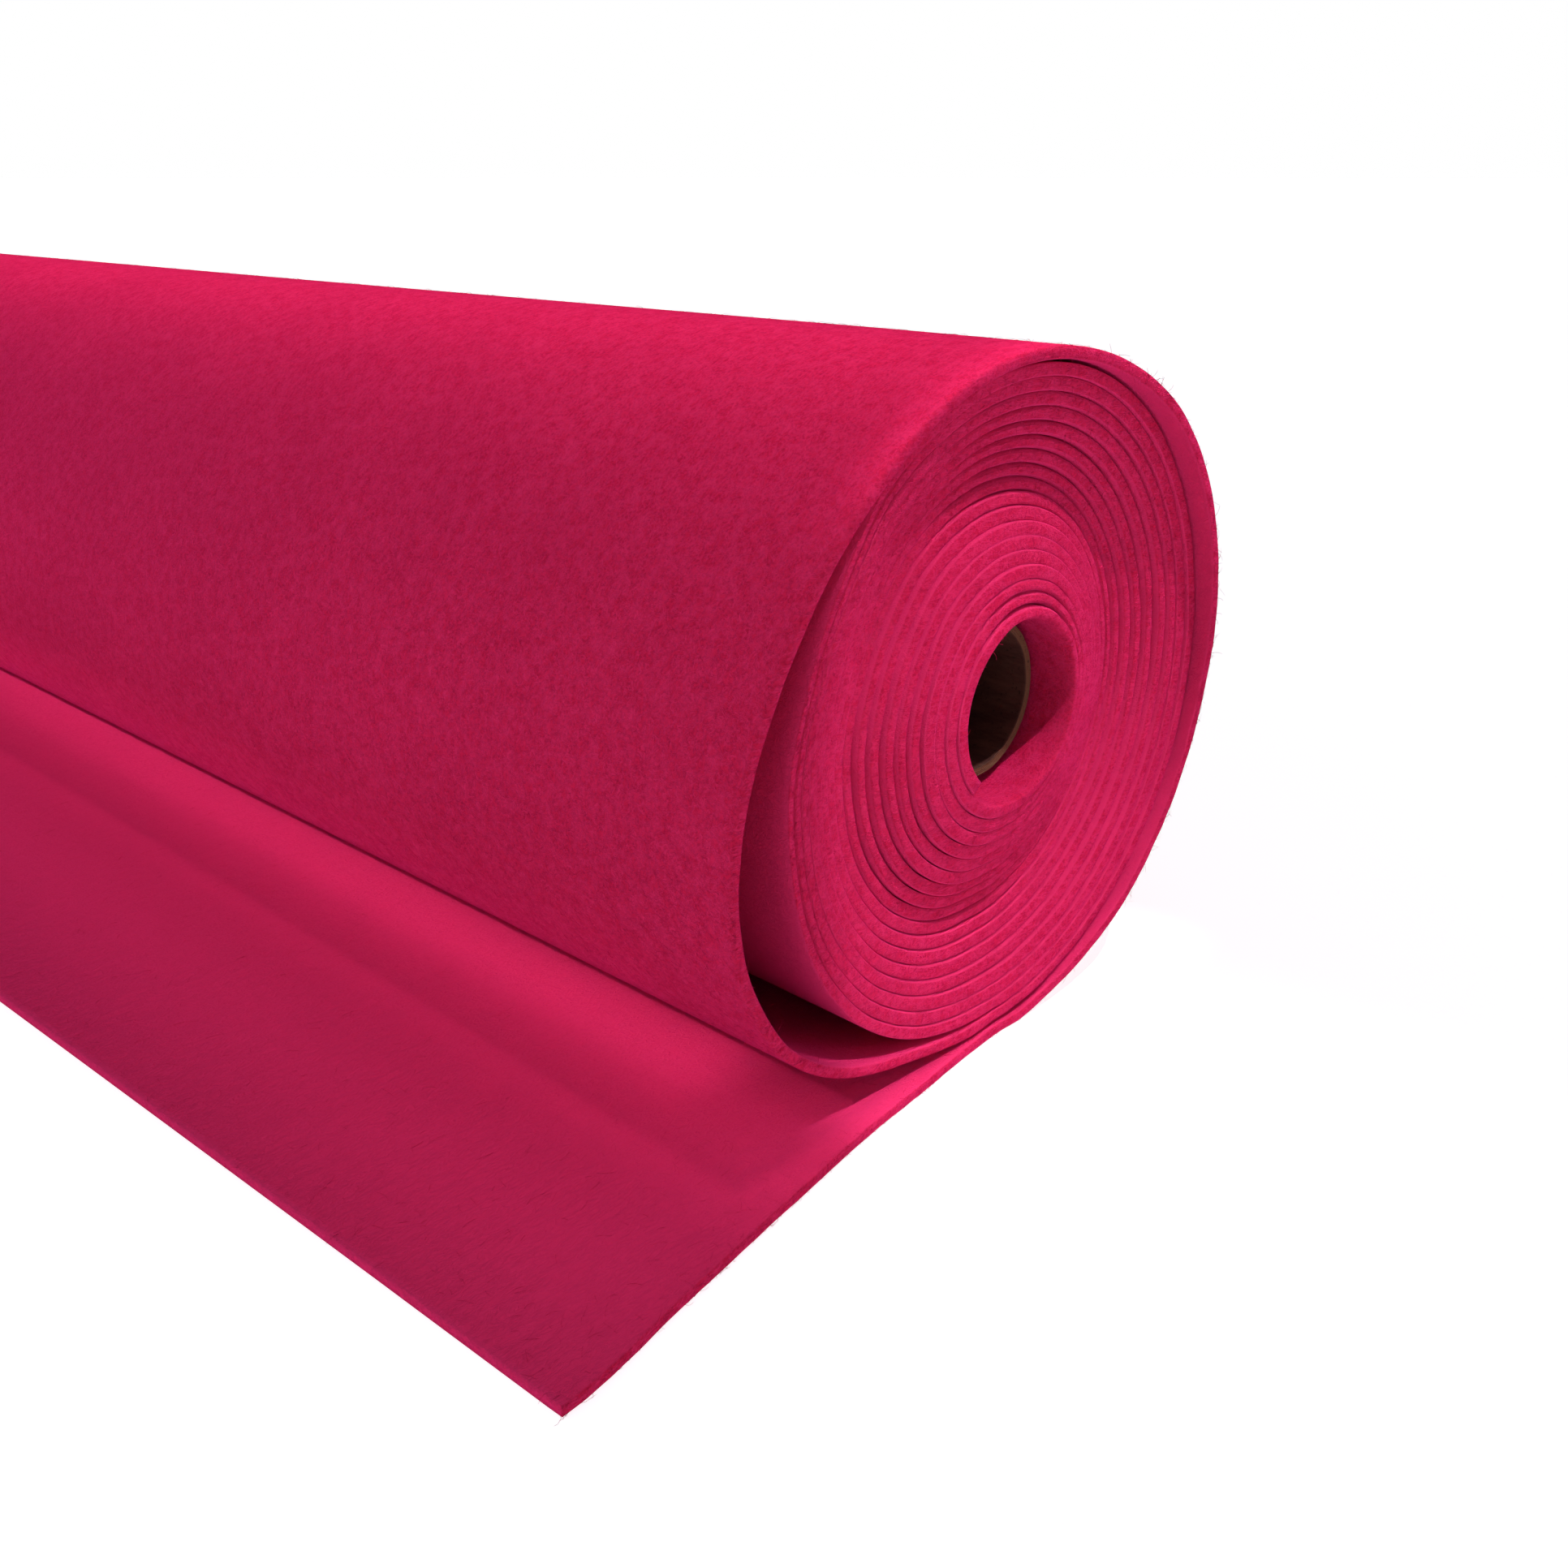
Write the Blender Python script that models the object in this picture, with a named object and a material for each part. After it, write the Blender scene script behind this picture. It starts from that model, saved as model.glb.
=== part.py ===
"""A roll of felt on a cardboard core, lying on its side with the free end of the strip in front of it.

The frame: +X runs along the roll towards the end that stands forward, +Y points to the back, +Z is up.
The origin is on the floor under the roll's axis, half way along the felt's width.
"""

import math

import bmesh
import bpy
from mathutils import Vector

MM = 0.001

# Driving dimensions, in metres.
FELT_WIDTH = 600 * MM
FELT_THICKNESS = 2.6 * MM
TURN_PITCH = 3.5 * MM  # how much the last turns add to the wound radius on their way round
CORE_OUTER_RADIUS = 17.5 * MM
CORE_WALL = 2 * MM
CORE_LENGTH = 580 * MM
CORE_CLEARANCE = 0.3 * MM
AXIS_HEIGHT = 77.8 * MM
WOUND_RADIUS = 69.5 * MM  # under the last turn, where that turn leaves the wound body
WOUND_SAG = 2.15 * MM  # the outer turns hang this far lower on the core than the first one
FUSED_DEPTH = 0.3 * MM  # how far the wound body reaches into a turn that lies tight on it

# The wound body's own step, where its outermost layer turns into the last turn.
STEP_START = 350.0  # degrees
BODY_SEGMENTS = 72
CORE_SEGMENTS = 64

# The turns slid along the roll: how far each radius stands back at the near end, and proud at the far end.
DISH = (
    # radius mm, set back mm
    (17.8, 0.0),
    (24.0, 1.0),
    (30.0, 2.6),
    (37.0, 5.0),
    (43.0, 7.2),
    (47.0, 7.8),
    (52.0, 7.0),
    (59.0, 4.4),
    (65.0, 2.4),
    (72.9, 1.0),
)

# The last turn, by the angle from straight down, turning to the front, the top, the back and down again.
LAST_TURN = (
    # angle deg, gap to the even spiral mm, forward shift of the edges mm
    (-20.0, -2.9, -1.8),
    (-8.0, -2.9, -1.8),
    (0.0, 0.2, -1.3),
    (8.0, 0.8, -1.0),
    (17.0, 1.9, -1.0),
    (25.0, 3.7, -1.0),
    (33.0, 6.8, -1.0),
    (41.0, 10.1, -0.8),
    (49.0, 12.7, -0.4),
    (58.0, 14.5, 0.0),
    (68.0, 14.6, 0.0),
    (78.0, 13.5, 0.0),
    (88.0, 11.1, 0.0),
    (98.0, 7.9, 0.0),
    (106.0, 5.4, 0.0),
    (114.0, 3.3, 0.0),
    (121.0, 2.0, 0.0),
    (129.0, 1.0, 0.0),
    (140.0, 0.0, 0.1),
    (180.0, 0.9, 0.9),
    (200.0, 1.1, 2.4),
    (220.0, 1.0, 4.0),
    (240.0, 0.6, 3.8),
    (260.0, 0.2, 3.3),
    (280.0, 0.0, 2.3),
    (300.0, 0.0, 1.7),
    (320.0, 0.0, 1.4),
    (342.0, 0.0, 0.0),
    (350.0, 0.3, -0.4),
    (355.0, 0.5, -0.6),
    (360.0, 0.1, -0.8),
)
LOOSE_END = 140.0  # degrees: from here on the last turn lies close to the wound body
FAR_GAP_GROWTH = 0.6  # the loose stretch stands this share further off at the far end
TURN_STEP = 5.0  # degrees between the last turn's cross lines

# The wound body's outermost layer is a little slack at the lower front and over the top, and pressed in
# where the last turn leaves it.
SLACK = (
    # angle deg, slack mm
    (0.0, 0.0),
    (12.0, 0.6),
    (28.0, 1.7),
    (40.0, 1.9),
    (50.0, 1.4),
    (60.0, 0.8),
    (70.0, 0.0),
    (80.0, -0.8),
    (90.0, -1.1),
    (100.0, -1.9),
    (110.0, -2.7),
    (122.0, -2.6),
    (131.0, -1.8),
    (141.0, 0.0),
    (180.0, 0.9),
    (200.0, 1.1),
    (220.0, 1.0),
    (240.0, 0.6),
    (260.0, 0.2),
    (280.0, 0.0),
)

# The free end on the floor, from under the roll to its near corner.
FREE_END = (
    # distance to the front mm, forward shift of the edges mm
    (12.0, 0.1),
    (32.0, 2.1),
    (50.0, 3.9),
    (78.0, 8.1),
    (110.0, 13.3),
    (139.8, 18.0),
)
FRONT_EDGE_LEAN = math.radians(3.4)  # the cut edge runs a little off the roll's axis
SHARP_ANGLE = math.radians(35)  # edges sharper than this are shaded sharp

FELT_COLOUR = (0.46, 0.011, 0.055, 1.0)
CARD_COLOUR = (0.23, 0.13, 0.07, 1.0)


def start_clean():
    """Remove every object, so that the model holds only what is built here."""
    for thing in list(bpy.data.objects):
        bpy.data.objects.remove(thing, do_unlink=True)


def smooth_table(table, column, at):
    """A value between a table's rows, on a smooth curve through them that never overshoots."""
    rows = [(row[0], row[column]) for row in table]
    if at <= rows[0][0]:
        return rows[0][1]
    for (x0, y0), (x1, y1) in zip(rows, rows[1:]):
        if at <= x1:
            index = rows.index((x0, y0))
            before = rows[max(index - 1, 0)]
            after = rows[min(index + 2, len(rows) - 1)]
            run = x1 - x0
            slope = (y1 - y0) / run
            slope_in = safe_slope(slope, (y0 - before[1]) / max(x0 - before[0], 1e-9))
            slope_out = safe_slope(slope, (after[1] - y1) / max(after[0] - x1, 1e-9))
            t = (at - x0) / run
            return (
                y0 * (1 + 2 * t) * (1 - t) ** 2
                + slope_in * run * t * (1 - t) ** 2
                + y1 * t * t * (3 - 2 * t)
                + slope_out * run * t * t * (t - 1)
            )
    return rows[-1][1]


def safe_slope(one, other):
    """The slope at a row of a table: the harmonic mean of its neighbours' slopes, or flat at a turn."""
    if one * other <= 0:
        return 0.0
    return 2 * one * other / (one + other)


def on_section(radius, angle):
    """The Y and Z of a point of the roll's cross section, by its radius and its angle in degrees."""
    turn = math.radians(angle)
    share = (radius - CORE_OUTER_RADIUS) / (WOUND_RADIUS - CORE_OUTER_RADIUS)
    sag = WOUND_SAG * min(max(share, 0), 1)
    return -radius * math.sin(turn), AXIS_HEIGHT - sag - radius * math.cos(turn)


def spiral_radius(angle):
    """The radius under the last turn, which grows by one pitch on the way round."""
    return WOUND_RADIUS + TURN_PITCH * angle / 360


def body_radius(angle):
    """The wound body's outer radius, with its fused depth, and with a ramp down to where it starts."""
    if angle <= STEP_START:
        return spiral_radius(angle) + FUSED_DEPTH + smooth_table(SLACK, 1, angle) * MM
    top = spiral_radius(STEP_START) + FUSED_DEPTH
    share = (angle - STEP_START) / (360 - STEP_START)
    return top + (spiral_radius(0) + FUSED_DEPTH - top) * share


def closed_shell(name, rings):
    """A solid through closed rings of points: each ring is joined to the next, and the last to the first."""
    shell = bmesh.new()
    loops = [[shell.verts.new(point) for point in ring] for ring in rings]
    count = len(rings[0])
    for here, ahead in zip(loops, loops[1:] + loops[:1]):
        for i in range(count):
            j = (i + 1) % count
            shell.faces.new((here[i], here[j], ahead[j], ahead[i]))
    return finished(name, shell)


def finished(name, shape):
    """An object made from a bmesh, with its faces pointing out, smooth where it is round."""
    bmesh.ops.recalc_face_normals(shape, faces=shape.faces)
    mesh = bpy.data.meshes.new(name)
    shape.to_mesh(mesh)
    shape.free()
    mesh.shade_smooth()
    mesh.set_sharp_from_angle(angle=SHARP_ANGLE)
    thing = bpy.data.objects.new(name, mesh)
    bpy.context.scene.collection.objects.link(thing)
    return thing


def wound_body(name):
    """The turns that lie tight on each other, as one body with a bore and end faces that aren't quite flat."""
    bore = CORE_OUTER_RADIUS + CORE_CLEARANCE
    shares = [(row[0] * MM - bore) / (DISH[-1][0] * MM - bore) for row in DISH]
    rings = []
    for step in range(BODY_SEGMENTS):
        angle = 360 * step / BODY_SEGMENTS
        radii = [bore + share * (body_radius(angle) - bore) for share in shares]
        ring = []
        for side, ordered in ((0.5, radii), (-0.5, radii[::-1])):
            for radius in ordered:
                y, z = on_section(radius, angle)
                set_back = smooth_table(DISH, 1, radius / MM) * MM
                ring.append(Vector((side * FELT_WIDTH - set_back, y, z)))
        rings.append(ring)
    return closed_shell(name, rings)


def last_turn_line(far):
    """The middle line of the last turn's edge at the near or the far end, down to its cut end.

    The roll rests on it, so its underside is flat on the floor a little way behind the axis too.
    """
    side = -0.5 if far else 0.5
    growth = 1 + FAR_GAP_GROWTH * far
    half = FELT_THICKNESS / 2
    line = []
    steps = int((360 - LAST_TURN[0][0]) / TURN_STEP)
    for step in range(steps + 1):
        angle = LAST_TURN[0][0] + TURN_STEP * step
        gap = smooth_table(LAST_TURN, 1, angle) * MM
        shift = smooth_table(LAST_TURN, 2, angle) * MM
        loose = gap * growth if gap > 0 and angle < LOOSE_END else gap
        y, z = on_section(spiral_radius(angle) + loose + half, angle)
        line.append(Vector((side * FELT_WIDTH + shift, y, max(z, half))))
    lean = FELT_WIDTH * math.sin(FRONT_EDGE_LEAN) * far / FREE_END[-1][0]
    for distance, shift in FREE_END:
        y = -distance * MM - distance * lean
        line.append(Vector((side * FELT_WIDTH + shift * MM, y, half)))
    return line


def last_turn(name):
    """The strip's last turn and its free end: one sheet of the felt's thickness."""
    sheet = bmesh.new()
    near = [sheet.verts.new(point) for point in last_turn_line(far=False)]
    far = [sheet.verts.new(point) for point in last_turn_line(far=True)]
    for i in range(len(near) - 1):
        sheet.faces.new((near[i], near[i + 1], far[i + 1], far[i]))
    thing = finished(name, sheet)
    thick = thing.modifiers.new("thickness", "SOLIDIFY")
    thick.thickness = FELT_THICKNESS
    thick.offset = 0
    thick.use_even_offset = True
    return thing


def felt():
    """The whole strip as one solid: the wound body joined with the last turn and the free end."""
    roll = wound_body("felt")
    tail = last_turn("last_turn_guide")
    tail.hide_render = True
    tail.display_type = "WIRE"
    join = roll.modifiers.new("last turn", "BOOLEAN")
    join.operation = "UNION"
    join.solver = "EXACT"
    join.object = tail
    return roll


def core_tube():
    """The plain cardboard tube in the middle, shorter than the felt is wide."""
    rings = []
    inner = CORE_OUTER_RADIUS - CORE_WALL
    half = CORE_LENGTH / 2
    for radius, x in (
        (CORE_OUTER_RADIUS, half),
        (CORE_OUTER_RADIUS, -half),
        (inner, -half),
        (inner, half),
    ):
        ring = []
        for step in range(CORE_SEGMENTS):
            y, z = on_section(radius, 360 * step / CORE_SEGMENTS)
            ring.append(Vector((x, y, z)))
        rings.append(ring)
    return closed_shell("core_tube", rings)


def give_material(thing, name, colour, roughness):
    """A plain Principled material of its own for a piece."""
    material = bpy.data.materials.new(name)
    material.use_nodes = True
    shader = material.node_tree.nodes["Principled BSDF"]
    shader.inputs["Base Color"].default_value = colour
    shader.inputs["Roughness"].default_value = roughness
    shader.inputs["Metallic"].default_value = 0.0
    thing.data.materials.append(material)


def main():
    start_clean()
    give_material(felt(), "crimson_felt", FELT_COLOUR, 0.95)
    give_material(core_tube(), "brown_card", CARD_COLOUR, 0.85)


main()
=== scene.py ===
"""The looks of a roll of crimson felt on a cardboard tube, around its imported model.

The frame is the model's: +X along the roll towards its near end, +Y to the back, +Z up, in metres.
Angles on the roll's cross section are in degrees from straight down, turning to the front, the top, the
back and down again. They count up along the strip, and 0 is where the last turn leaves the wound turns.
"""

import math
import random

import bmesh
import bpy
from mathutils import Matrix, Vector, noise


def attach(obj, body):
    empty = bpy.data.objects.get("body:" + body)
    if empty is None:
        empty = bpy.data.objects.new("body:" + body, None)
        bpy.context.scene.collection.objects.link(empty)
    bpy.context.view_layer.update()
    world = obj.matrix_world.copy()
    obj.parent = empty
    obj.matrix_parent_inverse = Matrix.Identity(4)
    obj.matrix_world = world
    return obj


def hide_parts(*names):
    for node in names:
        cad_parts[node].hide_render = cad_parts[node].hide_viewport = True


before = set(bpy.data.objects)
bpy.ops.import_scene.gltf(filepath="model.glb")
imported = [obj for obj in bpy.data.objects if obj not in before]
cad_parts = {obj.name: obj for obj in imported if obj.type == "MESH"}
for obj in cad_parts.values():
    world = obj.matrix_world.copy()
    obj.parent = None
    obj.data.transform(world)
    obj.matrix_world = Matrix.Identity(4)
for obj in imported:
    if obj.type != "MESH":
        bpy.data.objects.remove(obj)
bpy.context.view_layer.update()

MM = 0.001

# The strip and how it is wound, as in the model.
FELT_WIDTH = 600 * MM
FELT_THICKNESS = 2.6 * MM
CORE_OUTER_RADIUS = 17.5 * MM
CORE_WALL = 2 * MM
CORE_LENGTH = 580 * MM
AXIS_HEIGHT = 77.8 * MM
BORE_RADIUS = 17.8 * MM  # under the first turn
WOUND_RADIUS = 69.5 * MM  # under the last turn, where it leaves the wound turns
WOUND_SAG = 2.15 * MM  # the outer turns hang this far lower on the core than the first one
LAST_PITCH = 3.5 * MM  # how much the last turn's radius grows in one turn
STRIP_START = -6434.0  # degrees: the strip's inner end, at the lower front of the hole

DISH = (
    # radius mm, set back of the near end mm
    (17.8, 0.0),
    (24.0, 1.0),
    (30.0, 2.6),
    (37.0, 5.0),
    (43.0, 7.2),
    (47.0, 7.8),
    (52.0, 7.0),
    (59.0, 4.4),
    (65.0, 2.4),
    (72.9, 1.0),
)
LAST_TURN = (
    # angle deg, gap to the even spiral mm, shift of the edges towards +X mm
    (0.0, 0.0, -1.3),
    (8.0, 0.8, -1.0),
    (17.0, 1.9, -1.0),
    (25.0, 3.7, -1.0),
    (33.0, 6.8, -1.0),
    (41.0, 10.1, -0.8),
    (49.0, 12.7, -0.4),
    (58.0, 14.5, 0.0),
    (68.0, 14.6, 0.0),
    (78.0, 13.5, 0.0),
    (88.0, 11.1, 0.0),
    (98.0, 7.9, 0.0),
    (106.0, 5.4, 0.0),
    (114.0, 3.3, 0.0),
    (121.0, 2.0, 0.0),
    (129.0, 1.0, 0.0),
    (140.0, 0.0, 0.1),
    (180.0, 0.9, 0.9),
    (200.0, 1.1, 2.4),
    (220.0, 1.0, 4.0),
    (240.0, 0.6, 3.8),
    (260.0, 0.2, 3.3),
    (280.0, 0.0, 2.3),
    (300.0, 0.0, 1.7),
    (320.0, 0.0, 1.4),
    (342.0, 0.0, 0.0),
    (350.0, 0.3, -0.4),
    (355.0, 0.5, -0.6),
    (360.0, 0.1, -0.8),
)
LOOSE_END = 140.0  # degrees: up to here the last turn stands off the roll
FAR_GAP_GROWTH = 0.6  # the share by which that gap is wider at the far end
SLACK = (
    # angle deg, slack of the outermost wound turn mm; the turns inside it take less
    (0.0, 0.0),
    (12.0, 0.6),
    (28.0, 1.7),
    (40.0, 1.9),
    (50.0, 1.4),
    (60.0, 0.8),
    (70.0, 0.0),
    (80.0, -0.8),
    (90.0, -1.1),
    (100.0, -1.9),
    (110.0, -2.7),
    (122.0, -2.6),
    (131.0, -1.8),
    (141.0, 0.0),
    (180.0, 0.9),
    (200.0, 1.1),
    (220.0, 1.0),
    (240.0, 0.6),
    (260.0, 0.2),
    (280.0, 0.0),
    (360.0, 0.0),
)
BUNCHING = (
    # angle deg, how far the middle turns are moved outwards mm
    (0.0, -0.4),
    (20.0, 0.4),
    (60.0, 0.4),
    (150.0, 0.0),
    (200.0, -0.7),
    (235.0, -1.7),
    (270.0, -2.3),
    (310.0, -2.3),
    (345.0, -1.3),
    (360.0, -0.4),
)
FREE_END = (
    # distance to the front mm, shift of the edges towards +X mm
    (0.0, -0.8),
    (12.0, 0.1),
    (32.0, 2.1),
    (50.0, 3.9),
    (78.0, 8.1),
    (110.0, 13.3),
    (139.8, 18.0),
)
FRONT_EDGE_LEAN = math.radians(3.4)  # how far the strip's cut end is off square

# The photograph's camera. The heading is its direction along X and Y.
CAMERA_PLACE = (0.4676, -0.2459, 0.18005)
CAMERA_HEADING = (-0.6922, 0.7217)
CAMERA_PITCH = math.radians(22.04)
IMAGE_SIZE = 1932
FOCAL_PIXELS = 1847
SENSOR_WIDTH = 36.0

WOUND_STEP = 2.2 * MM  # between the strip's cross sections along its length
OPEN_STEP = 1.25 * MM  # and on the last turn and the free end
OPEN_START = -20.0  # degrees: from here on the strip's outside shows
OPEN_FADE = 40  # degrees before that, over which its edges take on the open strip's shape

# Where the ends of the turns stand off each other, so that dark lines show between them.
OPEN_JOINTS = (
    # from deg, to deg, from radius mm, to radius mm, how open, how deep
    (150.0, 335.0, 40.0, 66.0, 1.1, 0.45),
    (35.0, 150.0, 27.0, 47.0, 0.9, 0.85),
    (335.0, 395.0, 34.0, 50.0, 0.6, 0.35),
    (45.0, 158.0, 60.0, 74.0, 1.3, 0.90),
    (140.0, 345.0, 12.0, 27.0, 1.3, 1.00),
)
JOINT_FADE_ANGLE = 25.0  # degrees over which such a stretch opens and closes
JOINT_FADE_RADIUS = 4.0  # mm, the same across the turns
MOST_OPEN = 1.3  # what joint_openness gives at most
INNER_SLACK = (
    # angle deg, how far the second turn stands off the first, as a share of its most
    (0.0, 0.0),
    (140.0, 0.0),
    (175.0, 1.0),
    (300.0, 1.0),
    (345.0, 0.0),
    (360.0, 0.0),
)
INNER_SLACK_MOST = (0.0, 0.42, 0.28, 0.12)  # mm, for the first turns from the inside

EDGE_TILT = 0.55  # the share of the end face's slope that each turn's edge follows; the rest is in steps
MOST_SWELL = 0.6 * MM  # how much thicker the felt is at the edges of tight turns
LEAST_GAP = 0.04 * MM  # what that leaves between two turns
EDGE_SLIP = 0.32 * MM  # how far single turns stand in front of or behind the others
SHUT_CORNER = 0.45  # the share of a corner's set back that a shut joint takes
OPENED_CORNER = 1.75  # and what an open joint adds to it

WOUND_CORNER = (
    # set back mm, side from -0.5 to 0.5
    (0.50, 0.50),
    (0.16, 0.465),
    (0.03, 0.39),
    (0.0, 0.16),
    (0.0, -0.16),
    (0.03, -0.39),
    (0.16, -0.465),
    (0.50, -0.50),
)
OPEN_CORNER = (
    # set back mm, side from -0.5 to 0.5
    (0.80, 0.50),
    (0.30, 0.47),
    (0.08, 0.38),
    (0.0, 0.16),
    (0.0, -0.16),
    (0.08, -0.38),
    (0.30, -0.47),
    (0.80, -0.50),
)
WOUND_COLUMNS = (4, 60)  # mm from the edge
OPEN_COLUMNS = (4, 12, 24, 36, 48, 60, 80, 100, 125, 150, 180, 210, 245)  # mm, where it lies open
SURFACE_LIFT = 0.30 * MM  # the most that the open felt's surface rises and falls
JOINT_GAPE = 0.28  # the share of the felt's thickness that an open joint is wide at its mouth
EDGE_FIBRES = 8500  # how many loose fibres lie on the cut edges
SURFACE_FIBRES = 6500  # and on the open surface
FIBRE_THICKNESS = (0.028 * MM, 0.045 * MM)  # from the middle to a corner, least and most
EDGE_FIBRE_LENGTH = (0.8 * MM, 2.8 * MM)
SURFACE_FIBRE_LENGTH = (1.0 * MM, 3.6 * MM)

CORE_RIM = (
    # radius mm, set back from the cut mm
    (15.50, 0.55),
    (15.56, 0.12),
    (15.72, 0.00),
    (15.92, 0.05),
    (15.98, 0.45),
    (16.06, 0.10),
    (16.24, 0.00),
    (16.42, 0.04),
    (16.48, 0.50),
    (16.56, 0.08),
    (16.76, 0.00),
    (16.94, 0.05),
    (17.00, 0.45),
    (17.06, 0.08),
    (17.26, 0.02),
    (17.42, 0.12),
    (17.48, 0.55),
)
CORE_SEGMENTS = 96  # around the tube
CORE_RINGS = 44  # along it
SEAM_PITCH = 0.085  # metres along the tube for one turn of the spiral seam
SEAM_WIDTH = 24  # degrees
SEAM_HEIGHT = 0.12 * MM

# Colours in linear red, green, blue and alpha.
FELT_BODY = (0.545, 0.0114, 0.0575, 1.0)
FELT_DEEP = (0.29, 0.0050, 0.032, 1.0)
FELT_FIBRE = (0.68, 0.026, 0.122, 1.0)
# Painted light: a lighter, cooler felt colour for the strip's inner side, which is also the free end's
# upper face, and for the faces between the wound turns. It stands in for light bounced into the gaps and a
# cool sheen.
FELT_PAINTED_BOUNCE = (0.66, 0.0280, 0.130, 1.0)
SHEEN_TINT = (0.45, 0.045, 0.75, 1.0)

# The tube's two grain tones are brown card with painted shade: they are much darker than such board, for
# the shade deep in the bore.
CARD_GRAIN_DARK_SHADED = (0.034, 0.009, 0.008, 1)
CARD_GRAIN_LIGHT_SHADED = (0.075, 0.026, 0.018, 1)
CARD_CUT = (0.135, 0.052, 0.030, 1)
CARD_SPECK = (0.012, 0.006, 0.005, 1)

FLOOR_REACH = 400.0  # metres to each side
FLOOR_DROP = 0.2 * MM  # it lies this far under the felt
FLOOR_COLOUR = (0.45, 0.45, 0.455, 1)
FLOOR_GLOW_COLOUR = (1.0, 1.0, 1.03, 1)
FLOOR_GLOW = 0.82

# How strong the surround is overhead and along the horizon.
SKY_OVERHEAD = 0.42
SKY_FAR_SIDE = 1.0
SKY_NEAR_SIDE = 0.35
WARM = (1.0, 0.80, 0.80)
COOL = (0.92, 1.10, 1.20)
PLAIN = (1.0, 1.0, 1.0)
LIGHTS = (
    # name, place m, aim m, size m, watts, spread deg, colour
    ("key_top", (0.0, 0.0, 1.25), (0.0, 0.0, 0.0), (1.6, 0.06), 0.285, 5, WARM),
    ("key_top_front", (0.0, -0.03, 1.25), (0.0, -0.03, 0.0), (1.6, 0.06), 0.100, 5, WARM),
    ("key_end", (0.615, 0.070, 1.028), (0.305, 0.010, 0.078), (0.122, 0.07), 0.026, 1.5, PLAIN),
    ("key_end_low", (1.11, 0.5, 0.38), (0.31, 0.0, 0.08), (0.1, 0.1), 0.004, 8, PLAIN),
    ("front_fill", (-0.2, -1.15, 0.42), (-0.1, -0.07, 0.08), (1.0, 0.4), 2.7, 180, COOL),
    ("fold", (-0.38, -0.496, 0.412), (-0.38, -0.057, 0.003), (1.3, 0.012), 0.043, 2.4, WARM),
    ("fold_end", (-0.30, -0.496, 0.412), (-0.30, -0.057, 0.003), (1.3, 0.012), 0.024, 2.4, WARM),
    ("fold_wide", (-0.30, -0.377, 0.523), (-0.30, -0.077, 0.003), (1.3, 0.018), 0.031, 3.4, WARM),
    ("sheet", (-0.32, -0.112, 1.2), (-0.32, -0.112, 0.0), (1.3, 0.03), 0.050, 4.5, WARM),
)


def smooth_table(table, column, at):
    """A value between a table's rows, on a smooth curve through them that never overshoots."""
    rows = [(row[0], row[column]) for row in table]
    if at <= rows[0][0]:
        return rows[0][1]
    for index, ((x0, y0), (x1, y1)) in enumerate(zip(rows, rows[1:])):
        if at <= x1:
            before = rows[max(index - 1, 0)]
            after = rows[min(index + 2, len(rows) - 1)]
            run = x1 - x0
            slope = (y1 - y0) / run
            slope_in = safe_slope(slope, (y0 - before[1]) / max(x0 - before[0], 1e-9))
            slope_out = safe_slope(slope, (after[1] - y1) / max(after[0] - x1, 1e-9))
            t = (at - x0) / run
            return (
                y0 * (1 + 2 * t) * (1 - t) ** 2
                + slope_in * run * t * (1 - t) ** 2
                + y1 * t * t * (3 - 2 * t)
                + slope_out * run * t * t * (t - 1)
            )
    return rows[-1][1]


def safe_slope(one, other):
    """The slope at a row of a table: the harmonic mean of its neighbours' slopes, or flat at a turn."""
    if one * other <= 0:
        return 0.0
    return 2 * one * other / (one + other)


def wobble(at, wave, seed):
    """A smooth random value between about -1 and 1, the same on each run."""
    return noise.noise(Vector((at / wave, seed * 7.31, 0.37)))


def on_section(radius, angle):
    """The Y and Z of a point of the roll's cross section, by its radius and its angle in degrees."""
    turn = math.radians(angle)
    share = (radius - CORE_OUTER_RADIUS) / (WOUND_RADIUS - CORE_OUTER_RADIUS)
    sag = WOUND_SAG * min(max(share, 0), 1)
    return -radius * math.sin(turn), AXIS_HEIGHT - sag - radius * math.cos(turn)


def even_radius(angle):
    """The radius under the strip where it is wound evenly."""
    if angle >= 0:
        return WOUND_RADIUS + LAST_PITCH * angle / 360
    return WOUND_RADIUS + (WOUND_RADIUS - BORE_RADIUS) * angle / -STRIP_START


def gap_under(angle, across):
    """How far the strip stands off the even spiral. across is 0 at its near edge and 1 at its far edge."""
    if angle >= 0:
        gap = smooth_table(LAST_TURN, 1, angle)
        if angle < LOOSE_END:
            gap *= 1 + FAR_GAP_GROWTH * across
        return gap * MM
    place = angle % 360
    share = max(even_radius(angle) - BORE_RADIUS, 0) / (WOUND_RADIUS - BORE_RADIUS)
    slack = smooth_table(SLACK, 1, place) * share
    bunching = smooth_table(BUNCHING, 1, place) * math.sin(math.pi * share**0.9)
    turn = int((angle - STRIP_START) // 360)
    inner = 0.0
    if turn + 1 < len(INNER_SLACK_MOST):
        since = (angle - STRIP_START) / 360 - turn
        most = INNER_SLACK_MOST[turn] * (1 - since) + INNER_SLACK_MOST[turn + 1] * since
        inner = most * smooth_table(INNER_SLACK, 1, place)
    return (slack + bunching + inner) * MM


def edge_shift(angle, radius):
    """How far the strip's edges stand towards +X from where an even roll's would be."""
    if angle >= 0:
        return smooth_table(LAST_TURN, 2, angle) * MM
    return -smooth_table(DISH, 1, radius / MM) * MM


def edge_slope(radius):
    """How fast the set back of the turns' edges grows with the radius."""
    reach = 1.5
    r = radius / MM
    return (smooth_table(DISH, 1, r + reach) - smooth_table(DISH, 1, r - reach)) / (2 * reach)


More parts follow.
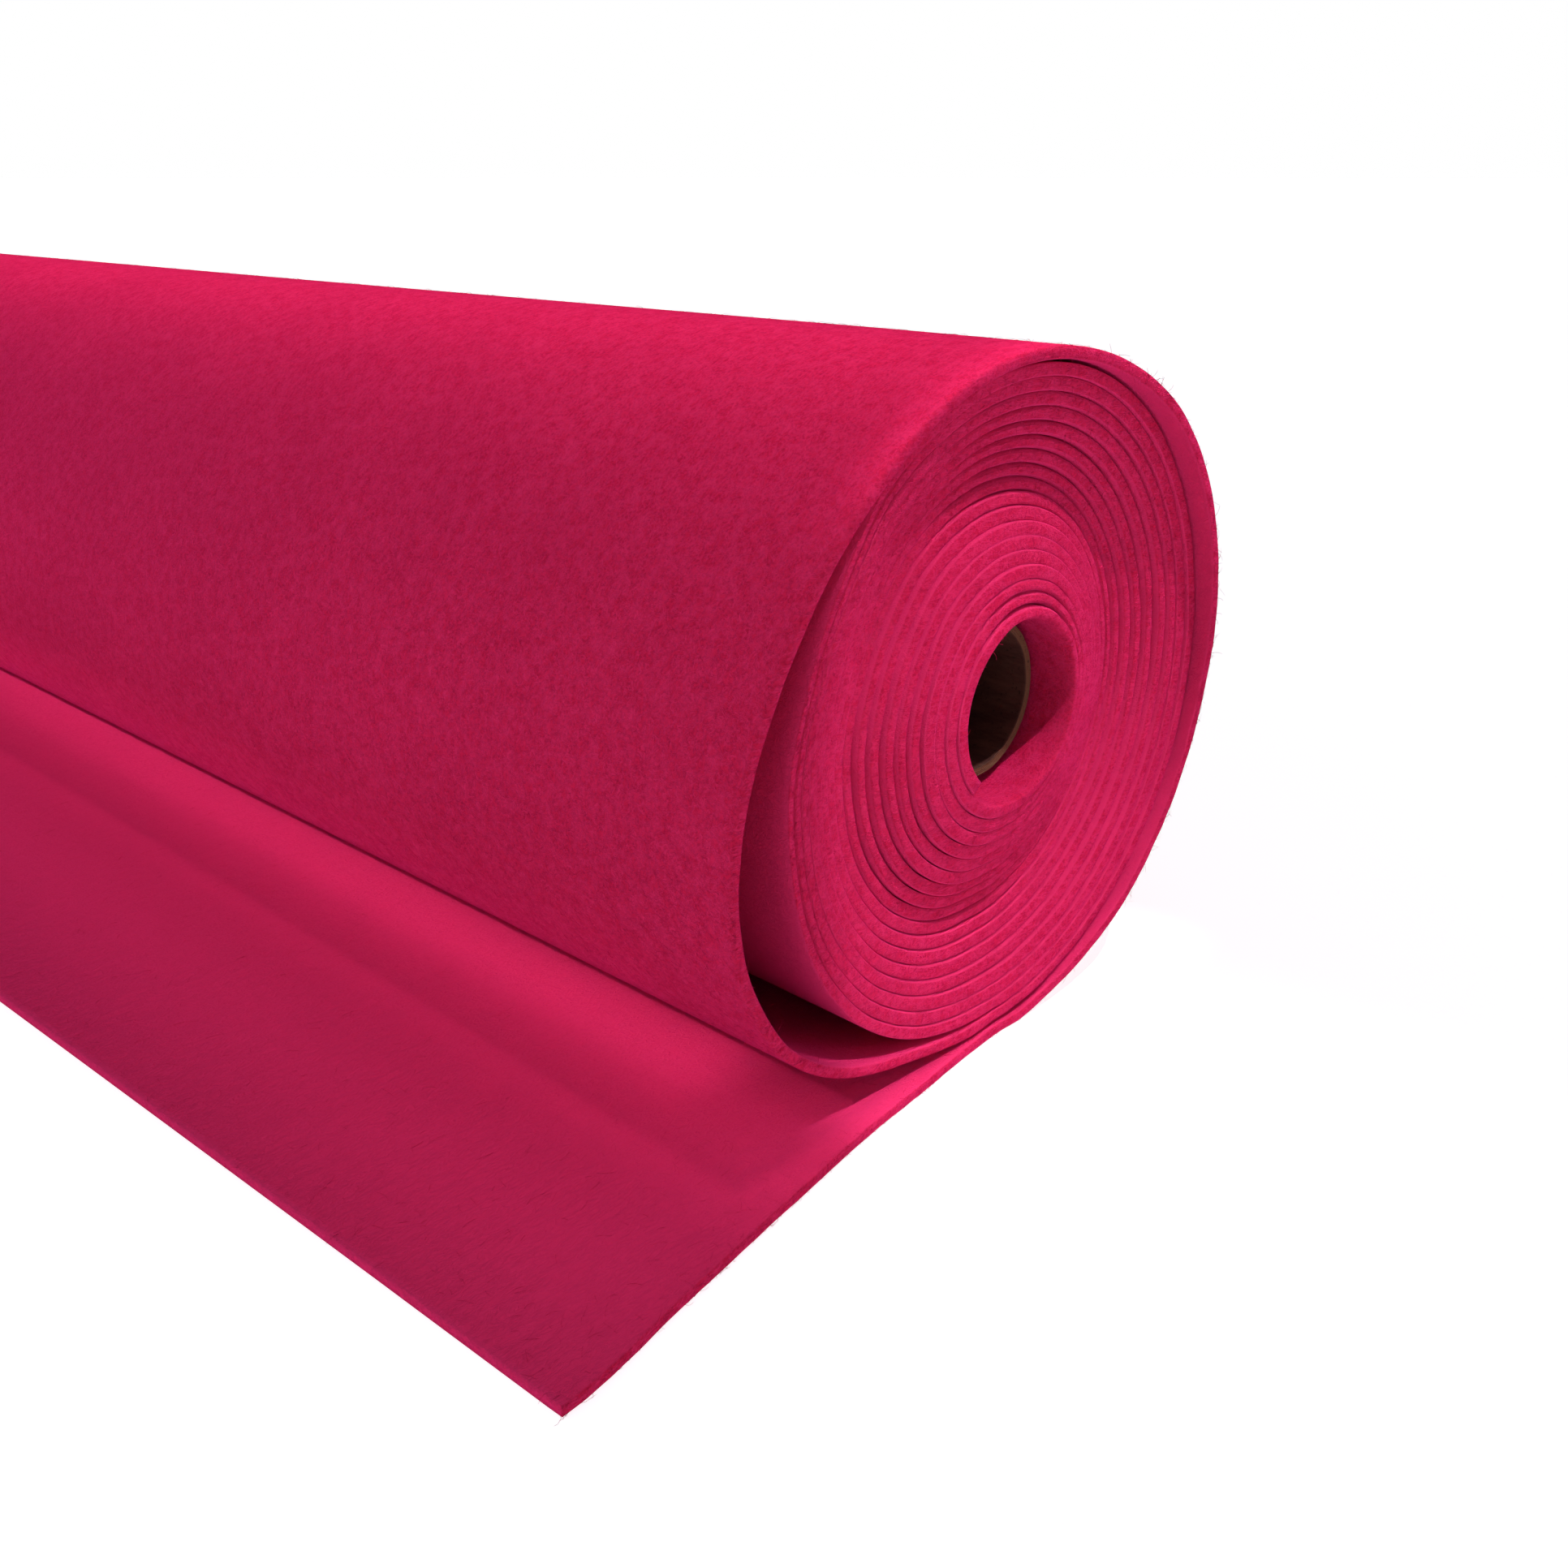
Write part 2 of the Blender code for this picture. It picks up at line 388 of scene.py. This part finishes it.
def joint_openness(angle, radius, length):
    """How open the joint beside a turn's edge is, from 0 to MOST_OPEN, and how deep it stays open."""
    place = angle % 360
    most = 0.0
    deepest = 0.0
    for start, stop, inner, outer, how_open, how_deep in OPEN_JOINTS:
        along = (place - start) % 360
        span = stop - start
        if along > span:
            continue
        ends = min(along, span - along, JOINT_FADE_ANGLE) / JOINT_FADE_ANGLE
        r = radius / MM
        sides = min(max(min(r - inner, outer - r) / JOINT_FADE_RADIUS, 0.0), 1.0)
        if how_open * ends * sides > most:
            most = how_open * ends * sides
            deepest = how_deep
    stray = 0.5 + 0.5 * wobble(length, 0.06, 21) + 0.3 * wobble(length, 0.021, 22)
    return min(max(0.25 * stray + most * (0.55 + 0.45 * stray), 0.0), MOST_OPEN), deepest


def open_place(ends, length):
    """A cross section of the strip where it lies open: its near and far middle points with the outward
    direction at both, its length from the inner end, and how its edges are shaped."""
    shaped = {"tilt": 0.0, "swell": 0.0, "slip": 0.0, "soft": 1.0, "open": 0.0, "deep": 0.0}
    return {"ends": ends, "length": length, "wound": False, "first": False, **shaped}


def strip_places():
    """The strip's cross sections in order, from its inner end to its cut end on the floor."""
    half = FELT_THICKNESS / 2
    places = []
    angle = STRIP_START
    length = 0.0
    while angle < 360:
        radius = even_radius(angle)
        wound = angle < OPEN_START
        ends = []
        for across in (0, 1):
            r = radius + gap_under(angle, across) + half
            y, z = on_section(r, angle)
            turn = math.radians(angle)
            out = Vector((0, -math.sin(turn), -math.cos(turn)))
            x = (0.5 - across) * FELT_WIDTH + edge_shift(angle, radius + half)
            ends.append((Vector((x, y, max(z, half))), out))
        place = open_place(ends, length)
        place["wound"] = wound
        if wound:
            fade = min(max((OPEN_START - angle) / OPEN_FADE, 0), 1)
            place["tilt"] = EDGE_TILT * edge_slope(radius + half) * fade
            outside = even_radius(angle + 360) + gap_under(angle + 360, 0)
            room = outside - radius - gap_under(angle, 0) - FELT_THICKNESS
            how_open, how_deep = joint_openness(angle, radius, length)
            how_open *= fade
            place["deep"] = how_deep
            if angle < -360:
                place["swell"] = min(max(room - LEAST_GAP, 0), MOST_SWELL) * fade
            place["soft"] = SHUT_CORNER + OPENED_CORNER * how_open
            place["open"] = how_open
            place["first"] = angle < STRIP_START + 365
            place["slip"] = EDGE_SLIP * wobble(length, 0.23, 11) * fade
        places.append(place)
        step = WOUND_STEP if wound else OPEN_STEP
        length += step
        angle += math.degrees(step / (radius + half))
    lean = math.tan(FRONT_EDGE_LEAN) * FELT_WIDTH / (FREE_END[-1][0] * MM)
    steps = int(FREE_END[-1][0] * MM / OPEN_STEP)
    for index in range(steps + 1):
        distance = FREE_END[-1][0] * MM * index / steps
        shift = smooth_table(FREE_END, 1, distance / MM) * MM
        ends = []
        for across in (0, 1):
            x = (0.5 - across) * FELT_WIDTH + shift
            ends.append((Vector((x, -distance * (1 + lean * across), half)), Vector((0, 0, -1))))
        places.append(open_place(ends, length + distance))
    return places


def strip_profile(corner, columns):
    """The strip's cross section, all round, as rows of across from 0 to 1, set back from the edge, and side
    from -0.5, which faces the core, to 0.5."""
    shares = [d * MM / FELT_WIDTH for d in columns]
    shares = shares + [0.5] + [1 - c for c in reversed(shares)]
    profile = [(0.0, back * MM, side) for back, side in corner]
    profile += [(across, 0.0, -0.5) for across in shares]
    profile += [(1.0, -back * MM, side) for back, side in reversed(corner)]
    profile += [(across, 0.0, 0.5) for across in reversed(shares)]
    return profile


def strip_point(place, across, back, side):
    """A point of the strip's surface."""
    (near, near_out), (far, far_out) = place["ends"]
    s = place["length"]
    middle = near.lerp(far, across)
    out = near_out.lerp(far_out, across)
    at_edge = across in (0.0, 1.0)
    narrow = JOINT_GAPE * place["open"] if at_edge and 0.3 < abs(side) < 0.5 else 0.0
    point = middle + out * (side * (1 - narrow) * FELT_THICKNESS)
    point.x += place["slip"]
    if at_edge:
        held_back = place["open"] * (place["deep"] if side == 0.5 else 0.5 + 0.5 * place["deep"])
        point += out * (max(side, 0) * 2 * place["swell"] * (1 - held_back))
        which = 1 + across
        sway = 0.24 * wobble(s, 0.055, which) + 0.12 * wobble(s, 0.014, which + 3)
        rough = 0.10 * wobble(s + side * 0.004, 0.0042, which + 6)
        point.x += (sway + rough) * MM - back * place["soft"] - place["tilt"] * side * FELT_THICKNESS
    elif not place["wound"]:
        lift = 0.5 + 0.5 * noise.noise(Vector((s / 0.075, across * 3.3, 4.1)))
        calm = min(across, 1 - across, 0.08) / 0.08
        point += Vector((0, out.y, abs(out.z))) * (lift * calm * SURFACE_LIFT)
    return point


def felt_strip(places):
    """The whole strip from its inner end in the hole to its cut end on the floor: one closed sheet."""
    profiles = {
        True: strip_profile(WOUND_CORNER, WOUND_COLUMNS),
        False: strip_profile(OPEN_CORNER, OPEN_COLUMNS),
    }
    shape = bmesh.new()
    painted_bounce_mask = shape.verts.layers.float.new("painted_bounce_mask")
    loops = []
    for place in places:
        loop = []
        for across, back, side in profiles[place["wound"]]:
            vertex = shape.verts.new(strip_point(place, across, back, side))
            # The mask of painted light: the inner side and the faces between the wound turns take the
            # lighter, cooler painted bounce colour.
            painted_bounce_here = abs(side) > 0.4 and (place["wound"] or side < 0) and not (place["first"] and side < 0)
            vertex[painted_bounce_mask] = 1.0 if painted_bounce_here else 0.0
            loop.append(vertex)
        loops.append((place["wound"], loop))
    for (here_wound, here), (ahead_wound, ahead) in zip(loops, loops[1:]):
        if here_wound == ahead_wound:
            pairs = [(i, (i + 1) % len(here), i, (i + 1) % len(here)) for i in range(len(here))]
        else:
            pairs = matching_pairs(profiles[here_wound], profiles[ahead_wound])
        for i, j, k, m in pairs:
            between = []
            step = k
            while step != m:
                step = (step + 1) % len(ahead)
                between.append(ahead[step])
            shape.faces.new([here[i], ahead[k]] + between + [here[j]])
    for _, loop in (loops[0], loops[-1]):
        shape.faces.new(loop)
    bmesh.ops.recalc_face_normals(shape, faces=shape.faces)
    bmesh.ops.triangulate(shape, faces=[f for f in shape.faces if len(f.verts) > 4])
    return as_object("felt_strip", shape)


def add_fibre(shape, chance, root, normal, length, rise):
    """One curled fibre: a thin closed prism that starts in the felt and lies along it."""
    turn = chance.uniform(0, 2 * math.pi)
    first = normal.orthogonal().normalized()
    flat = first * math.cos(turn) + normal.cross(first) * math.sin(turn)
    sideways = normal.cross(flat)
    bend = chance.uniform(-0.45, 0.45) * length
    thick = chance.uniform(*FIBRE_THICKNESS)
    rings = []
    for t in (0.0, 0.3, 0.65, 1.0):
        middle = root + flat * (length * t) + sideways * (bend * t * t)
        middle += normal * (rise * math.sin(2.4 * t) - 0.05 * MM)
        middle.z = max(middle.z, 0.1 * MM)
        around = [(math.cos(a), math.sin(a)) for a in (0.0, 2.0944, 4.1888)]
        thin = thick * (1 - 0.4 * t)
        rings.append([shape.verts.new(middle + (normal * c + sideways * s) * thin) for c, s in around])
    for here, ahead in zip(rings, rings[1:]):
        for i in range(3):
            shape.faces.new((here[i], here[(i + 1) % 3], ahead[(i + 1) % 3], ahead[i]))
    shape.faces.new(rings[0][::-1])
    shape.faces.new(rings[-1])


def edge_fibres(places):
    """Short fibres on the cut edges of the strip, on both end faces and along the free end's sides."""
    chance = random.Random(41)
    shape = bmesh.new()
    for _ in range(EDGE_FIBRES):
        place = places[chance.randrange(len(places))]
        across = 0.0 if chance.random() < 0.6 else 1.0
        root = strip_point(place, across, 0.0, chance.uniform(-0.42, 0.42))
        normal = Vector((1 - 2 * across, 0, 0))
        length = chance.uniform(*EDGE_FIBRE_LENGTH)
        add_fibre(shape, chance, root, normal, length, chance.uniform(0.05, 0.45) * MM)
    return as_object("edge_fibres", shape)


def surface_fibres(places):
    """Thinly spread fibres on the outside of the last turn and on the free end."""
    chance = random.Random(42)
    shape = bmesh.new()
    loose = [place for place in places if not place["wound"]]
    for _ in range(SURFACE_FIBRES):
        place = loose[chance.randrange(len(loose))]
        across = chance.uniform(0.002, 0.998) ** 1.5
        out = place["ends"][0][1]
        on_floor = out.z < -0.999
        side = -0.5 if on_floor else 0.5
        root = strip_point(place, across, 0.0, side)
        normal = -out if on_floor else out
        if root.z < 4 * MM and not on_floor:
            continue
        length = chance.uniform(*SURFACE_FIBRE_LENGTH)
        add_fibre(shape, chance, root, normal, length, chance.uniform(0.05, 0.5) * MM)
    return as_object("surface_fibres", shape)


def matching_pairs(sparse, dense):
    """For each edge of the sparser profile, the run of the denser one's points that it meets."""
    at = []
    for across, _, side in sparse:
        index = min(
            range(len(dense)), key=lambda i: abs(dense[i][0] - across) * 20 + abs(dense[i][2] - side)
        )
        at.append(index)
    count = len(sparse)
    return [(i, (i + 1) % count, at[i], at[(i + 1) % count]) for i in range(count)]


def as_object(name, shape):
    """A smooth-shaded object from a bmesh."""
    mesh = bpy.data.meshes.new(name)
    shape.to_mesh(mesh)
    shape.free()
    mesh.shade_smooth()
    thing = bpy.data.objects.new(name, mesh)
    bpy.context.scene.collection.objects.link(thing)
    return thing


class Nodes:
    """A short way to build the nodes of a material or of the surround."""

    def __init__(self, tree, coordinate="Object"):
        self.tree = tree
        self.shader = tree.nodes.get("Principled BSDF")
        self.place = self.add("ShaderNodeTexCoord").outputs[coordinate]

    def add(self, kind, **values):
        node = self.tree.nodes.new(kind)
        for key, value in values.items():
            setattr(node, key, value)
        return node

    def link(self, source, target):
        if isinstance(source, (int, float, tuple)):
            target.default_value = source
        else:
            self.tree.links.new(source, target)

    def math(self, operation, *inputs):
        node = self.add("ShaderNodeMath", operation=operation)
        for socket, value in zip(node.inputs, inputs):
            self.link(value, socket)
        return node.outputs[0]

    def mapped(self, rotation=(0, 0, 0), scale=(1, 1, 1)):
        node = self.add("ShaderNodeMapping")
        self.link(self.place, node.inputs["Vector"])
        node.inputs["Rotation"].default_value = rotation
        node.inputs["Scale"].default_value = scale
        return node.outputs[0]

    def noise(self, scale, detail=2.0, rough=0.5, distortion=0.0, vector=None):
        node = self.add("ShaderNodeTexNoise")
        self.link(self.place if vector is None else vector, node.inputs["Vector"])
        node.inputs["Scale"].default_value = scale
        node.inputs["Detail"].default_value = detail
        node.inputs["Roughness"].default_value = rough
        node.inputs["Distortion"].default_value = distortion
        return node.outputs["Fac"]

    def spread(self, value, low, high, to_low=0.0, to_high=1.0):
        node = self.add("ShaderNodeMapRange", interpolation_type="SMOOTHSTEP")
        self.link(value, node.inputs["Value"])
        for key, number in zip(("From Min", "From Max", "To Min", "To Max"), (low, high, to_low, to_high)):
            node.inputs[key].default_value = number
        return node.outputs["Result"]

    def mix(self, share, one, other):
        node = self.add("ShaderNodeMix", data_type="RGBA")
        self.link(share, node.inputs["Factor"])
        self.link(one, node.inputs[6])
        self.link(other, node.inputs[7])
        return node.outputs[2]

    def fibres(self, scale, rotation, stretch, width):
        """Thin curved lines, like the fibres that lie on the felt: 1 on a line and 0 beside it."""
        vector = self.mapped(rotation=rotation, scale=(1, stretch, 1))
        value = self.noise(scale, detail=3.0, rough=0.6, distortion=0.6, vector=vector)
        off = self.math("ABSOLUTE", self.math("SUBTRACT", value, 0.5))
        return self.spread(off, 0.0, width, 1.0, 0.0)

    def bump(self, height, strength, distance):
        node = self.add("ShaderNodeBump")
        node.inputs["Strength"].default_value = strength
        node.inputs["Distance"].default_value = distance
        self.link(height, node.inputs["Height"])
        self.link(node.outputs[0], self.shader.inputs["Normal"])


def new_material(name):
    """An empty material and its nodes."""
    material = bpy.data.materials.new(name)
    material.use_nodes = True
    return material, Nodes(material.node_tree)


def felt_material():
    """Pressed crimson felt: a dense mat of fine fibres in all directions, matt with a soft cool bloom, and
    with painted light: a lighter, cooler colour on the inner side and between the turns for bounced light
    and sheen.
    """
    material, n = new_material("crimson_felt")
    crumb = n.noise(1500.0, detail=4.0, rough=0.65)
    clump = n.noise(330.0, detail=3.0, rough=0.6)
    cloud = n.noise(28.0, detail=2.0)
    lines = None
    for scale, rotation, stretch, width in (
        (420.0, (0.4, 0.9, 0.2), 0.25, 0.030),
        (470.0, (1.9, 0.3, 1.1), 0.28, 0.028),
        (390.0, (0.9, 2.2, 2.5), 0.22, 0.030),
    ):
        layer = n.fibres(scale, rotation, stretch, width)
        lines = layer if lines is None else n.math("MAXIMUM", lines, layer)
    deep = n.math("MULTIPLY", n.spread(crumb, 0.30, 0.62, 1.0, 0.0), 0.75)
    colour = n.mix(deep, FELT_BODY, FELT_DEEP)
    clumps = n.math("MULTIPLY", n.spread(clump, 0.38, 0.66), 0.30)
    colour = n.mix(clumps, colour, FELT_FIBRE)
    colour = n.mix(n.math("MULTIPLY", lines, 0.48), colour, FELT_FIBRE)
    shade = n.spread(cloud, 0.3, 0.7, 0.0, 0.10)
    colour = n.mix(shade, colour, FELT_DEEP)
    # Painted light: where the mask is set, the colour is mixed most of the way to the lighter, cooler
    # painted bounce colour, standing in for light bounced into the gaps and a cool sheen.
    painted_bounce_mask = n.add("ShaderNodeAttribute", attribute_name="painted_bounce_mask").outputs["Fac"]
    colour = n.mix(n.math("MULTIPLY", painted_bounce_mask, 0.8), colour, FELT_PAINTED_BOUNCE)
    n.link(colour, n.shader.inputs["Base Color"])
    height = n.math("ADD", n.math("MULTIPLY", crumb, 0.6), n.math("MULTIPLY", lines, 0.35))
    height = n.math("ADD", height, n.math("MULTIPLY", clump, 0.8))
    n.bump(height, 0.75, 0.35 * MM)
    n.shader.inputs["Roughness"].default_value = 0.95
    n.shader.inputs["Specular IOR Level"].default_value = 0.0
    n.shader.inputs["Sheen Weight"].default_value = 0.08
    n.shader.inputs["Sheen Roughness"].default_value = 0.5
    n.shader.inputs["Sheen Tint"].default_value = SHEEN_TINT
    return material


def card_material():
    """Brown paper board with its two grain tones painted much darker for the shade deep in the bore: long
    fibres and darker specks, a lighter brown at its cut ends.
    """
    material, n = new_material("brown_card")
    grain = n.noise(160.0, detail=5.0, rough=0.65, vector=n.mapped(scale=(0.25, 1, 1)))
    speck = n.noise(1400.0, detail=2.0)
    # Grain between the two tones, both darkened by painted shade.
    colour = n.mix(n.spread(grain, 0.35, 0.65), CARD_GRAIN_DARK_SHADED, CARD_GRAIN_LIGHT_SHADED)
    cut = n.add("ShaderNodeAttribute", attribute_name="cut").outputs["Fac"]
    colour = n.mix(cut, colour, CARD_CUT)
    colour = n.mix(n.spread(speck, 0.60, 0.72, 0.0, 0.6), colour, CARD_SPECK)
    n.link(colour, n.shader.inputs["Base Color"])
    n.bump(n.math("ADD", grain, n.math("MULTIPLY", speck, 0.3)), 0.4, 0.2 * MM)
    n.shader.inputs["Roughness"].default_value = 0.85
    n.shader.inputs["Specular IOR Level"].default_value = 0.15
    return material


def core_piece():
    """The tube with its cut rim: four plies that end a little unevenly, and a spiral seam inside."""
    inner = CORE_OUTER_RADIUS - CORE_WALL
    half = CORE_LENGTH / 2
    profile = [(r * MM, half - back * MM) for r, back in CORE_RIM]
    profile += [(r * MM, -half + back * MM) for r, back in reversed(CORE_RIM)]
    lengths = [-half + CORE_LENGTH * i / CORE_RINGS for i in range(2, CORE_RINGS - 1)]
    profile += [(inner, x) for x in lengths]
    shape = bmesh.new()
    cut = shape.verts.layers.float.new("cut")
    loops = []
    for index in range(CORE_SEGMENTS):
        angle = 360 * index / CORE_SEGMENTS
        loop = []
        for r, x in profile:
            at_cut = abs(x) > half - 1 * MM
            ragged = 0.10 * MM * noise.noise(Vector((angle / 9, r / MM * 3, x * 40))) if at_cut else 0
            seam = (x / SEAM_PITCH * 360 + angle) % 360
            raised = SEAM_HEIGHT if r == inner and seam < SEAM_WIDTH else 0.0
            y, z = on_section(r - raised, angle)
            vertex = shape.verts.new((x + ragged, y, z))
            vertex[cut] = 1.0 if r > inner + 0.1 * MM else 0.0
            loop.append(vertex)
        loops.append(loop)
    count = len(profile)
    for here, ahead in zip(loops, loops[1:] + loops[:1]):
        for i in range(count):
            j = (i + 1) % count
            shape.faces.new((here[i], here[j], ahead[j], ahead[i]))
    bmesh.ops.recalc_face_normals(shape, faces=shape.faces)
    return as_object("card_core", shape)


def floor():
    """A pale floor, wide enough to fill the view."""
    shape = bmesh.new()
    signs = ((-1, -1), (1, -1), (1, 1), (-1, 1))
    corners = [(x * FLOOR_REACH, y * FLOOR_REACH, -FLOOR_DROP) for x, y in signs]
    shape.faces.new([shape.verts.new(corner) for corner in corners])
    thing = as_object("studio_floor", shape)
    material, n = new_material("pale_floor")
    n.shader.inputs["Base Color"].default_value = FLOOR_COLOUR
    n.shader.inputs["Roughness"].default_value = 0.9
    n.shader.inputs["Specular IOR Level"].default_value = 0.1
    n.shader.inputs["Emission Color"].default_value = FLOOR_GLOW_COLOUR
    n.shader.inputs["Emission Strength"].default_value = FLOOR_GLOW
    thing.data.materials.append(material)


def area_light(name, place, aim, size, watts, spread, colour):
    """A soft rectangular light at place, turned to aim."""
    lamp = bpy.data.lights.new(name, "AREA")
    lamp.shape = "RECTANGLE"
    lamp.size, lamp.size_y = size
    lamp.energy = watts
    lamp.color = colour
    lamp.spread = math.radians(spread)
    thing = bpy.data.objects.new(name, lamp)
    thing.location = place
    thing.rotation_euler = (Vector(aim) - Vector(place)).to_track_quat("-Z", "Y").to_euler()
    bpy.context.scene.collection.objects.link(thing)


def surround():
    """A white surround: bright along the horizon, dimmer overhead and at the front right."""
    world = bpy.data.worlds.new("studio")
    bpy.context.scene.world = world
    world.use_nodes = True
    n = Nodes(world.node_tree, "Generated")
    split = n.add("ShaderNodeSeparateXYZ")
    n.link(n.place, split.inputs[0])
    x, y, z = split.outputs
    towards_near_side = n.math("SUBTRACT", n.math("MULTIPLY", x, 0.69), n.math("MULTIPLY", y, 0.72))
    horizon = n.spread(towards_near_side, -0.3, 0.6, SKY_FAR_SIDE, SKY_NEAR_SIDE)
    overhead = n.spread(z, 0.12, 0.34)
    keep = n.math("MULTIPLY", horizon, n.math("SUBTRACT", 1.0, overhead))
    strength = n.math("ADD", keep, n.math("MULTIPLY", overhead, SKY_OVERHEAD))
    back = world.node_tree.nodes["Background"]
    n.link(n.mix(overhead, (1, 1, 1, 1), (1, 0.95, 0.95, 1)), back.inputs["Color"])
    n.link(strength, back.inputs["Strength"])


def lights():
    """The surround, and the lamps: keys along the roll's top and down its near end, a soft fill from the
    front, and strips that reach the sheet where it comes out from under the roll."""
    surround()
    for row in LIGHTS:
        area_light(*row)


def camera():
    """The photograph's viewpoint."""
    lens = bpy.data.cameras.new("photo_camera")
    lens.sensor_width = SENSOR_WIDTH
    lens.lens = SENSOR_WIDTH * FOCAL_PIXELS / IMAGE_SIZE
    lens.clip_start = 0.01
    thing = bpy.data.objects.new("photo_camera", lens)
    thing.location = CAMERA_PLACE
    level = math.cos(CAMERA_PITCH)
    forward = Vector((CAMERA_HEADING[0] * level, CAMERA_HEADING[1] * level, -math.sin(CAMERA_PITCH)))
    thing.rotation_euler = forward.to_track_quat("-Z", "Y").to_euler()
    bpy.context.scene.collection.objects.link(thing)
    bpy.context.scene.camera = thing


def main():
    camera()
    bpy.context.scene.view_settings.view_transform = "Standard"
    places = strip_places()
    felt = felt_material()
    strip = felt_strip(places)
    strip.data.materials.append(felt)
    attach(strip, "root")
    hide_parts("felt")
    for fibres in (edge_fibres(places), surface_fibres(places)):
        fibres.data.materials.append(felt)
        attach(fibres, "root")
    core = core_piece()
    core.data.materials.append(card_material())
    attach(core, "root")
    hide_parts("core_tube")
    floor()
    lights()


main()
